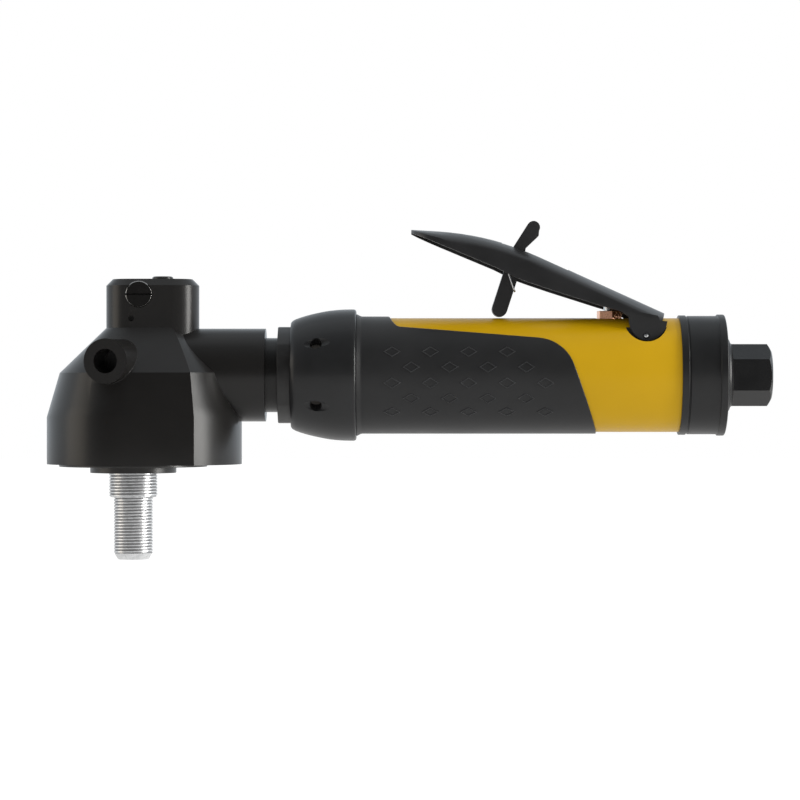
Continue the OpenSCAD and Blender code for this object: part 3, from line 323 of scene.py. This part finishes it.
def wear(obj, finish):
    obj.data.materials.clear()
    obj.data.materials.append(finishes[finish])
    for face in obj.data.polygons:
        face.material_index = 0


def wearWhere(obj, finish, chosen):
    # a second finish on the faces that the test picks
    obj.data.materials.append(finishes[finish])
    for face in obj.data.polygons:
        if chosen(face):
            face.material_index = len(obj.data.materials) - 1


# Every CAD node gets a finish; the ones made again below hide theirs
nodeFinish = {
    "castBlack": ["angle_head_housing"],
    "turnedBlack": ["top_plug", "side_plug", "bearing_cover", "dust_flange", "gear_nut", "gear_key"],
    "nutBlack": ["coupling_nut", "inlet_washer"],
    "bellBlack": ["exhaust_bell"],
    "collarBlack": ["rear_collar"],
    "inletBlack": ["inlet_bushing"],
    "leverBlack": ["lever", "lock_link", "link_pin"],
    "gripRubber": ["grip_sleeve"],
    "sealRubber": ["dust_seal", "plunger_seal", "tip_valve"],
    "yellowEnamel": ["motor_housing"],
    "threadSteel": ["spindle"],
    "groundSteel": ["lower_bearing_outer_race", "lower_bearing_balls", "upper_needle_cup", "upper_needles",
                    "pinion_bearing_outer_races", "pinion_bearing_balls", "pinion_bearing_spacer",
                    "pinion_retaining_ring", "bevel_gear", "lower_bearing_inner_race", "pinion_shaft",
                    "pinion_bearing_inner_races", "rotor", "motor_bearing_inner_races",
                    "motor_bearing_outer_races", "motor_bearing_balls", "cylinder_dowel", "motor_washer",
                    "lever_pin", "plunger"],
    "screenMesh": ["inlet_screen"],
    "springSteel": ["link_spring", "tip_valve_spring"],
    "greyIron": ["cylinder_liner", "front_end_plate", "rear_end_plate", "valve_seat"],
    "copperBronze": ["valve_bushing"],
    "vaneLaminate": ["rotor_vanes"],
    "feltGrey": ["silencer_ring"],
}
for finish, group in nodeFinish.items():
    for node in group:
        wear(nodes[node], finish)
print("nodes dressed:", sum(len(group) for group in nodeFinish.values()))


# Forms of the frame with their edges broken, as the machined and cast pieces have them

boss = {"radius": 7.8 * mm, "height": 47.7 * mm, "turn": 13.6, "shortest": 5 * mm, "longest": 29 * mm,
        "within": 0.05 * mm}
bevelFrom = 28  # degrees between two faces from which their edge is broken


def onBossRoot(place):
    # the line where a handle boss leaves the casting, on either side
    turn = math.radians(boss["turn"])
    out = Vector((-math.sin(turn), math.copysign(math.cos(turn), place.y), 0))
    arm = place - Vector((0, 0, boss["height"]))
    along = arm.dot(out)
    onBoss = abs((arm - along * out).length - boss["radius"]) < boss["within"]
    return onBoss and boss["shortest"] < along < boss["longest"]


def roundEdges(obj, chosen, width, rows):
    # a wider rounding than the rest, on the edges whose two ends the test picks
    editMesh(obj, "DESELECT")
    bpy.ops.mesh.select_mode(type="EDGE")
    leaveEdit()
    points = obj.data.vertices
    for edge in obj.data.edges:
        edge.select = all(chosen(points[end].co) for end in edge.vertices)
    bpy.ops.object.mode_set(mode="EDIT")
    bpy.ops.mesh.bevel(offset=width, segments=rows, affect="EDGES", clamp_overlap=True)
    leaveEdit()


def softCopy(node, name, finish, slot, edge, rows=2, rounding=None, joinBelow=0.6, slide=True):
    obj = bpy.data.objects.new(name, nodes[node].data.copy())
    bpy.context.scene.collection.objects.link(obj)
    pick(obj)
    bpy.ops.mesh.customdata_custom_splitnormals_clear()
    editMesh(obj)
    bpy.ops.mesh.remove_doubles(threshold=weldWithin)
    bpy.ops.mesh.dissolve_limited(angle_limit=math.radians(joinBelow))
    leaveEdit()
    if rounding:
        roundEdges(obj, **rounding)
    smooth(obj)
    addModifier(obj, "BEVEL", width=edge, segments=rows, limit_method="ANGLE", loop_slide=slide,
                angle_limit=math.radians(bevelFrom), use_clamp_overlap=True, harden_normals=True)
    wear(obj, finish)
    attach(obj, bodyOf[node])
    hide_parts(node)
    return obj


# The head's flared skirt streaks where its nearly flat faces are joined, so it joins only the flat ones.
# A bevel that slides along its neighbours leaves a dark sliver at the grip's slanting edge.
softPieces = {
    "headHousing": dict(node="angle_head_housing", finish="castBlack", slot="cast_black", edge=0.3 * mm,
                        rounding=dict(chosen=onBossRoot, width=2.4 * mm, rows=6), joinBelow=0.1),
    "headCover": dict(node="bearing_cover", finish="turnedBlack", slot="machined_black", edge=0.2 * mm),
    "dustFlange": dict(node="dust_flange", finish="turnedBlack", slot="machined_black", edge=0.2 * mm),
    "fillerPlug": dict(node="top_plug", finish="turnedBlack", slot="machined_black", edge=0.12 * mm),
    "slottedPlug": dict(node="side_plug", finish="plugBlack", slot="machined_black", edge=0.06 * mm),
    "neckNut": dict(node="coupling_nut", finish="nutBlack", slot="machined_black", edge=0.25 * mm),
    "motorBell": dict(node="exhaust_bell", finish="bellBlack", slot="bell_black", edge=0.2 * mm),
    "motorShell": dict(node="motor_housing", finish="yellowEnamel", slot="housing_yellow", edge=0.25 * mm),
    "endCollar": dict(node="rear_collar", finish="collarBlack", slot="bell_black", edge=0.2 * mm),
    "hoseInlet": dict(node="inlet_bushing", finish="inletBlack", slot="inlet_black", edge=0.25 * mm),
    "gripSleeve": dict(node="grip_sleeve", finish="gripRubber", slot="grip_rubber", edge=0.3 * mm,
                       slide=False),
    "throttleLever": dict(node="lever", finish="leverBlack", slot="lever_black", edge=0.35 * mm,
                          slide=False),
    "lockLink": dict(node="lock_link", finish="leverBlack", slot="lever_black", edge=0.4 * mm),
    "linkPin": dict(node="link_pin", finish="leverBlack", slot="lever_black", edge=0.2 * mm),
    "leverPin": dict(node="lever_pin", finish="pinSteel", slot="bright_steel", edge=0.7 * mm, rows=5),
    "bushingHex": dict(node="valve_bushing", finish="copperBronze", slot="copper_bronze", edge=0.25 * mm),
    "pushPin": dict(node="plunger", finish="groundSteel", slot="bright_steel", edge=0.1 * mm),
}
soft = {name: softCopy(name=name, **how) for name, how in softPieces.items()}

# The plug's rim chamfer is painted bright metal, a painted highlight, and the hollows that the lever's ears
# swing in are painted black, painted shade in those recesses
plugRim = {"x": 2.6 * mm, "z": 71.4 * mm, "reach": 4.35 * mm, "facing": (-0.95, -0.3)}
pocket = {"x": 180.3 * mm, "z": 62.3 * mm, "reach": 7.7 * mm, "inner": 11.2 * mm}


def fromCentre(face, mark):
    return math.hypot(face.center.x - mark["x"], face.center.z - mark["z"])


def onPlugRim(face):
    low, high = plugRim["facing"]
    return low < face.normal.y < high and fromCentre(face, plugRim) > plugRim["reach"]


def inPocket(face):
    return abs(face.center.y) > pocket["inner"] and fromCentre(face, pocket) < pocket["reach"]


# painted highlight: the rim's chamfer faces get the bright metal
wearWhere(soft["slottedPlug"], "wornEdge", onPlugRim)
# painted shade: the faces inside the ear pockets get a black finish in place of the yellow enamel
wearWhere(soft["motorShell"], "collarBlack", inPocket)
print("softened pieces:", len(soft))


# Spindle: the shaft of the frame, cut off above the collar, with real threads below

spindleSizes = {
    "flangeFace": 8.6 * mm, "cutAbove": 0.1 * mm, "edge": 0.15 * mm,
    "crestShare": 0.36, "rootShare": 0.12, "clear": 0.1 * mm,
    "facets": 96, "steps": 56, "spareTurns": 3, "sharpFrom": 25, "endNormal": 0.99,
    "work": dict(crest=6.88 * mm, pitch=1.07 * mm, depth=0.5 * mm, low=-21.9 * mm, high=0.05 * mm,
                 taper=2.4 * mm, end=5.4 * mm),
    "collar": dict(crest=8.5 * mm, pitch=1.07 * mm, depth=0.5 * mm, low=0.0, high=8.75 * mm,
                   taper=0.6 * mm, end=7.9 * mm),
}


def drawLine(name, points, closed=False):
    curve = bpy.data.curves.new(name, "CURVE")
    curve.dimensions = "3D"
    line = curve.splines.new("POLY")
    line.points.add(len(points) - 1)
    for point, place in zip(line.points, points):
        point.co = (*place, 1)
    line.use_cyclic_u = closed
    obj = bpy.data.objects.new(name, curve)
    bpy.context.scene.collection.objects.link(obj)
    return obj


def threadBar(name, crest, low, high, taper, end):
    # a plain bar that tapers to the radius end over its lowest part
    pickNone()
    bpy.ops.mesh.primitive_cylinder_add(vertices=spindleSizes["facets"], radius=crest,
                                        depth=high - low - taper, location=(0, 0, (high + low + taper) / 2))
    bar = applyPlace(bpy.context.object, name)
    editMesh(bar, "DESELECT")
    bpy.ops.mesh.select_mode(type="FACE")
    leaveEdit()
    for face in bar.data.polygons:
        face.select = face.normal.z < -spindleSizes["endNormal"]
    pick(bar)
    bpy.ops.object.mode_set(mode="EDIT")
    bpy.ops.mesh.extrude_region_move(TRANSFORM_OT_translate={"value": (0, 0, -taper)})
    bpy.ops.transform.resize(value=(end / crest, end / crest, 1))
    leaveEdit()
    return bar


def threadGroove(name, crest, pitch, depth, low, high):
    # one cross-section wound past both ends by a screw, its two ends closed
    how = spindleSizes
    rim = crest + how["clear"]
    mouth = (0.5 - how["crestShare"] / 2) * pitch
    root = how["rootShare"] / 2 * pitch
    start = low - how["spareTurns"] / 2 * pitch
    corners = [(rim, -mouth), (rim, mouth), (crest - depth, root), (crest - depth, -root)]
    groove = drawLine(name, [(far, 0, start + up) for far, up in corners], closed=True)
    pick(groove)
    bpy.ops.object.convert(target="MESH")
    addModifier(groove, "SCREW", axis="Z", angle=2 * math.pi, screw_offset=pitch, steps=how["steps"],
                render_steps=how["steps"], iterations=math.ceil((high - low) / pitch) + how["spareTurns"])
    editMesh(groove)
    bpy.ops.mesh.fill_holes(sides=4)
    bpy.ops.mesh.normals_make_consistent(inside=False)
    leaveEdit()
    return groove


def cutThread(name, crest, pitch, depth, low, high, taper, end):
    bar = threadBar(name, crest, low, high, taper, end)
    groove = threadGroove(name + "Groove", crest, pitch, depth, low, high)
    addModifier(bar, "BOOLEAN", operation="DIFFERENCE", object=groove, solver="EXACT")
    bpy.data.objects.remove(groove)
    turnOut(bar)
    smooth(bar, spindleSizes["sharpFrom"])

    def inGroove(face):
        atSide = abs(face.normal.z) < spindleSizes["endNormal"]
        deep = math.hypot(face.center.x, face.center.y) < crest - spindleSizes["clear"]
        return atSide and deep and face.center.z > low + taper

    wear(bar, "threadSteel")
    # painted shade: the faces down in the groove get the darker steel
    wearWhere(bar, "grooveSteel", inGroove)
    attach(bar, "spindle_unit")
    return bar


shaft = softCopy("spindle", "spindleShaft", "groundSteel", "bright_steel", spindleSizes["edge"])
shaftEnd = (0, 0, spindleSizes["flangeFace"] + spindleSizes["cutAbove"])
editMesh(shaft)
bpy.ops.mesh.bisect(plane_co=shaftEnd, plane_no=(0, 0, 1), use_fill=True, clear_inner=True)
leaveEdit()
workThread = cutThread("workThread", **spindleSizes["work"])
collarThread = cutThread("collarThread", **spindleSizes["collar"])
print("threads:", len(workThread.data.polygons), len(collarThread.data.polygons), "faces")


# Lozenges moulded on both sides of the grip: one outline, laid in rows wherever there is rubber under it

lozenge = {
    "length": 6.1 * mm, "height": 3.9 * mm, "line": 0.34 * mm, "proud": 0.22 * mm, "sunk": 0.3 * mm,
    "bevel": 0.12 * mm, "bevelFrom": 60, "sharpFrom": 30,
    "firstX": 91.4 * mm, "pitchX": 13.33 * mm, "firstTurn": 7.9, "pitchTurn": 15.35,
    "rows": {-2: 4, -1: 4, 0: 5, 1: 4, 2: 5},
    "sleeveRadius": 20.7 * mm, "within": 0.12 * mm, "margin": 0.4 * mm, "rayFrom": 40 * mm,
}


def oneLozenge():
    pickNone()
    bpy.ops.mesh.primitive_circle_add(vertices=4, radius=1, fill_type="NGON", location=(0, 0, 0))
    obj = bpy.context.object
    obj.scale = (lozenge["length"] / 2, lozenge["height"] / 2, 1)
    applyPlace(obj, "gripLozenges")
    editMesh(obj)
    bpy.ops.mesh.inset(thickness=lozenge["line"], depth=0)
    bpy.ops.mesh.delete(type="FACE")
    leaveEdit()
    addModifier(obj, "SOLIDIFY", thickness=lozenge["proud"] + lozenge["sunk"], offset=0)
    addModifier(obj, "BEVEL", width=lozenge["bevel"], segments=1, limit_method="ANGLE",
                angle_limit=math.radians(lozenge["bevelFrom"]))
    return obj


def rubberUnder(x, turn, sleeve):
    axis = Vector((x, 0, axisHeight))
    out = Vector((0, -math.cos(turn), -math.sin(turn)))
    hit, place = sleeve.ray_cast(axis + out * lozenge["rayFrom"], -out)[:2]
    return hit and abs((place - axis).length - lozenge["sleeveRadius"]) < lozenge["within"]


def layLozenges(sleeve):
    first = oneLozenge()
    radius = lozenge["sleeveRadius"]
    lift = (lozenge["proud"] - lozenge["sunk"]) / 2
    reachX = lozenge["length"] / 2 + lozenge["margin"]
    reachTurn = (lozenge["height"] / 2 + lozenge["margin"]) / radius
    laid = []
    for side, (row, count) in itertools.product(("front", "back"), lozenge["rows"].items()):
        turn = math.radians(lozenge["firstTurn"] + lozenge["pitchTurn"] * row)
        if side == "back":
            turn = math.pi - turn
        for column in range(count):
            x = lozenge["firstX"] + lozenge["pitchX"] * (column + (0.5 if row % 2 else 0))
            tips = [(x - reachX, turn), (x + reachX, turn), (x, turn - reachTurn), (x, turn + reachTurn),
                    (x, turn)]
            if not all(rubberUnder(tipX, tipTurn, sleeve) for tipX, tipTurn in tips):
                continue
            copy = first.copy()
            copy.data = first.data.copy()
            bpy.context.scene.collection.objects.link(copy)
            for vertex in copy.data.vertices:
                along, around, out = vertex.co
                here = turn + around / radius
                reach = radius + lift + out
                vertex.co = (x + along, -reach * math.cos(here), axisHeight - reach * math.sin(here))
            laid.append(copy)
    bpy.data.objects.remove(first)
    pick(*laid)
    bpy.ops.object.join()
    piece = bpy.context.object
    piece.name = piece.data.name = "gripLozenges"
    turnOut(piece)
    smooth(piece, lozenge["sharpFrom"])
    # painted highlight: the lozenges wear the lighter rubber
    wear(piece, "raisedRubber")
    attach(piece, "tool_body")
    print("lozenges laid:", len(laid))


layLozenges(soft["gripSleeve"])


# Wound springs: round wire on the same route as the frame's. Both springs' sizes are in millimetres.

wireLook = {"resolution": 3, "sharpFrom": 60, "stepsPerTurn": 24}
linkSpring = {
    "pinX": 134.3, "pinZ": 81.7, "coil": 2.652, "wire": 0.3, "turns": 2, "pitch": 1.05, "coilY": -5.7,
    "tailZ": 1.2, "legY": -4.4, "lean": 18, "legLength": 16.17, "legShare": 0.53, "legHalf": 2.7,
    "clear": 0.1,
    "leaving": [(0.2, -0.3, 1.1), (-0.1, 0, -0.3)],
    "hook": [(-0.5, 0, 1), (0, 0.2, 0), (0, 0.8, -0.1), (0, 2.2, -0.1)],
}
valveSpring = {"start": 187.5, "length": 4.8, "turns": 4, "small": 3.0, "grow": 1.6, "wire": 0.4}


def woundWire(name, points, radius, node):
    wire = drawLine(name, points)
    wire.data.bevel_depth = radius
    wire.data.bevel_resolution = wireLook["resolution"]
    wire.data.use_fill_caps = True
    pick(wire)
    bpy.ops.object.convert(target="MESH")
    turnOut(wire)
    smooth(wire, wireLook["sharpFrom"])
    wear(wire, "springSteel")
    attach(wire, bodyOf[node])
    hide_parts(node)


def linkSpringRoute():
    # a short tail, the coil round the pin, and a leg that hooks round the link's rear edge
    how = linkSpring
    lean = math.radians(how["lean"])
    down = (-math.sin(lean), -math.cos(lean))
    side = (math.cos(lean), -math.sin(lean))
    reach = how["legShare"] * how["legLength"]
    out = how["legHalf"] + how["wire"] + how["clear"]
    corner = (reach * down[0] + out * side[0], reach * down[1] + out * side[1])
    outer = how["coilY"] - how["pitch"] * how["turns"]
    steps = wireLook["stepsPerTurn"]
    route = [(how["coil"], outer, how["tailZ"])]
    for i in range(steps * how["turns"] + steps // 2 + 1):
        turn = -2 * math.pi * i / steps
        y = outer + how["pitch"] * min(i / steps, how["turns"])
        route.append((how["coil"] * math.cos(turn), y, how["coil"] * math.sin(turn)))
    route += [(x - how["coil"], how["legY"] + y, z) for x, y, z in how["leaving"]]
    route += [(corner[0] + x, how["legY"] + y, corner[1] + z) for x, y, z in how["hook"]]
    return [((how["pinX"] + x) * mm, y * mm, (how["pinZ"] + z) * mm) for x, y, z in route]


def valveSpringRoute():
    how = valveSpring
    steps = wireLook["stepsPerTurn"]
    route = []
    for i in range(steps * how["turns"] + 1):
        share = i / steps / how["turns"]
        radius = how["small"] + how["grow"] * share
        turn = 2 * math.pi * i / steps
        route.append(((how["start"] + how["length"] * share) * mm, radius * math.cos(turn) * mm,
                      axisHeight + radius * math.sin(turn) * mm))
    return route


woundWire("linkSpringWire", linkSpringRoute(), linkSpring["wire"] * mm, "link_spring")
woundWire("valveSpringWire", valveSpringRoute(), valveSpring["wire"] * mm, "tip_valve_spring")
print("springs wound")


# Camera, floor and light

view = {"place": (0.0942, -1.170, 0.0343), "turn": (90, 0, 0), "lens": 149.05, "near": 0.05, "far": 60}
studio = {
    "worldFill": 0.82, "front": dict(span=(-0.85, 0.1), result=(0.03, 1.1), curve="SMOOTHSTEP"),
    "ceiling": dict(span=(0.3, 1.0), result=(1.0, 0.35)), "glossTint": (0.86, 0.935, 1.0),
    "floorPlace": (0.1, 0, -0.13), "floorSize": 16.0, "floorTone": 0.6, "floorRoughness": 0.9,
    "floorGlow": 0.6, "floorSheen": 0.22, "floorBounce": 0.3,
}
lamps = {
    "topLight": dict(place=(0.1, 0.2, 1.4), aim=(0.1, 0, 0.04), size=(2.0, 0.9), power=1.7,
                     tint=(0.97, 0.985, 1.0)),
    "leftLight": dict(place=(-1.37, -0.29, 0.05), aim=(0.0, 0, 0.05), size=(0.8, 1.5), power=5.6,
                      tint=(1.0, 0.86, 0.68)),
    "rightLight": dict(place=(1.364, -0.315, 0.05), aim=(0.0, 0, 0.05), size=(0.5, 1.5), power=30.0,
                       tint=(1.0, 0.985, 0.95)),
}


def setCamera():
    camera = bpy.data.objects.new("camera", bpy.data.cameras.new("camera"))
    bpy.context.scene.collection.objects.link(camera)
    camera.location = view["place"]
    camera.rotation_euler = [math.radians(turn) for turn in view["turn"]]
    camera.data.lens = view["lens"]
    camera.data.clip_start = view["near"]
    camera.data.clip_end = view["far"]
    bpy.context.scene.camera = camera


def either(tree, share, no, yes):
    return ramp(tree, share, span=(0.0, 1.0), result=(no, yes))


def backgroundLook():
    world = bpy.data.worlds.new("whiteRoom")
    bpy.context.scene.world = world
    world.use_nodes = True
    tree = world.node_tree
    path = addNode(tree, "LightPath")
    isGloss = path.outputs["Is Glossy Ray"]
    seen = reckon(tree, "MAXIMUM", path.outputs["Is Camera Ray"], path.outputs["Is Transmission Ray"])
    # gloss shows the white room too, but the photographer's side of it is dark and its ceiling is dim
    way = addNode(tree, "SeparateXYZ", None, Vector=addNode(tree, "TexCoord").outputs["Generated"])
    front = ramp(tree, way.outputs["Y"], **studio["front"])
    ceiling = ramp(tree, way.outputs["Z"], **studio["ceiling"])
    gloss = reckon(tree, "MULTIPLY", front, ceiling)
    strength = either(tree, seen, either(tree, isGloss, studio["worldFill"], gloss), 1.0)
    tree.links.new(strength, tree.nodes["Background"].inputs["Strength"])
    tint = mixColour(tree, isGloss, (1, 1, 1), studio["glossTint"])
    tree.links.new(tint, tree.nodes["Background"].inputs["Color"])


def paleFloor():
    pickNone()
    bpy.ops.mesh.primitive_plane_add(size=studio["floorSize"], location=studio["floorPlace"])
    floor = applyPlace(bpy.context.object, "floor")
    mat = bpy.data.materials.new("paleFloor")
    mat.use_nodes = True
    tree = mat.node_tree
    shader = tree.nodes["Principled BSDF"]
    shader.inputs["Base Color"].default_value = paint([studio["floorTone"]] * 3)
    shader.inputs["Roughness"].default_value = studio["floorRoughness"]
    shader.inputs["Specular IOR Level"].default_value = 0.0
    # white under the object for the camera, with a faint sheen of it in what the object reflects
    path = addNode(tree, "LightPath")
    sheen = either(tree, path.outputs["Is Glossy Ray"], studio["floorBounce"], studio["floorSheen"])
    strength = either(tree, path.outputs["Is Camera Ray"], sheen, studio["floorGlow"])
    glow = addNode(tree, "Emission", None, Color=paint((1, 1, 1)), Strength=strength)
    both = addNode(tree, "AddShader", None, n0=shader.outputs[0], n1=glow.outputs[0])
    tree.links.new(both.outputs[0], tree.nodes["Material Output"].inputs["Surface"])
    floor.data.materials.append(mat)


def softLight(name, place, aim, size, power, tint):
    lamp = bpy.data.lights.new(name, "AREA")
    lamp.shape = "RECTANGLE"
    lamp.size, lamp.size_y = size
    lamp.energy = power
    lamp.color = tint
    obj = bpy.data.objects.new(name, lamp)
    bpy.context.scene.collection.objects.link(obj)
    obj.location = place
    obj.rotation_euler = (Vector(aim) - Vector(place)).to_track_quat("-Z", "Y").to_euler()


setCamera()
backgroundLook()
paleFloor()
for name, how in lamps.items():
    softLight(name, **how)
print("camera, floor and lights set")

bpy.context.scene.view_settings.view_transform = "Standard"
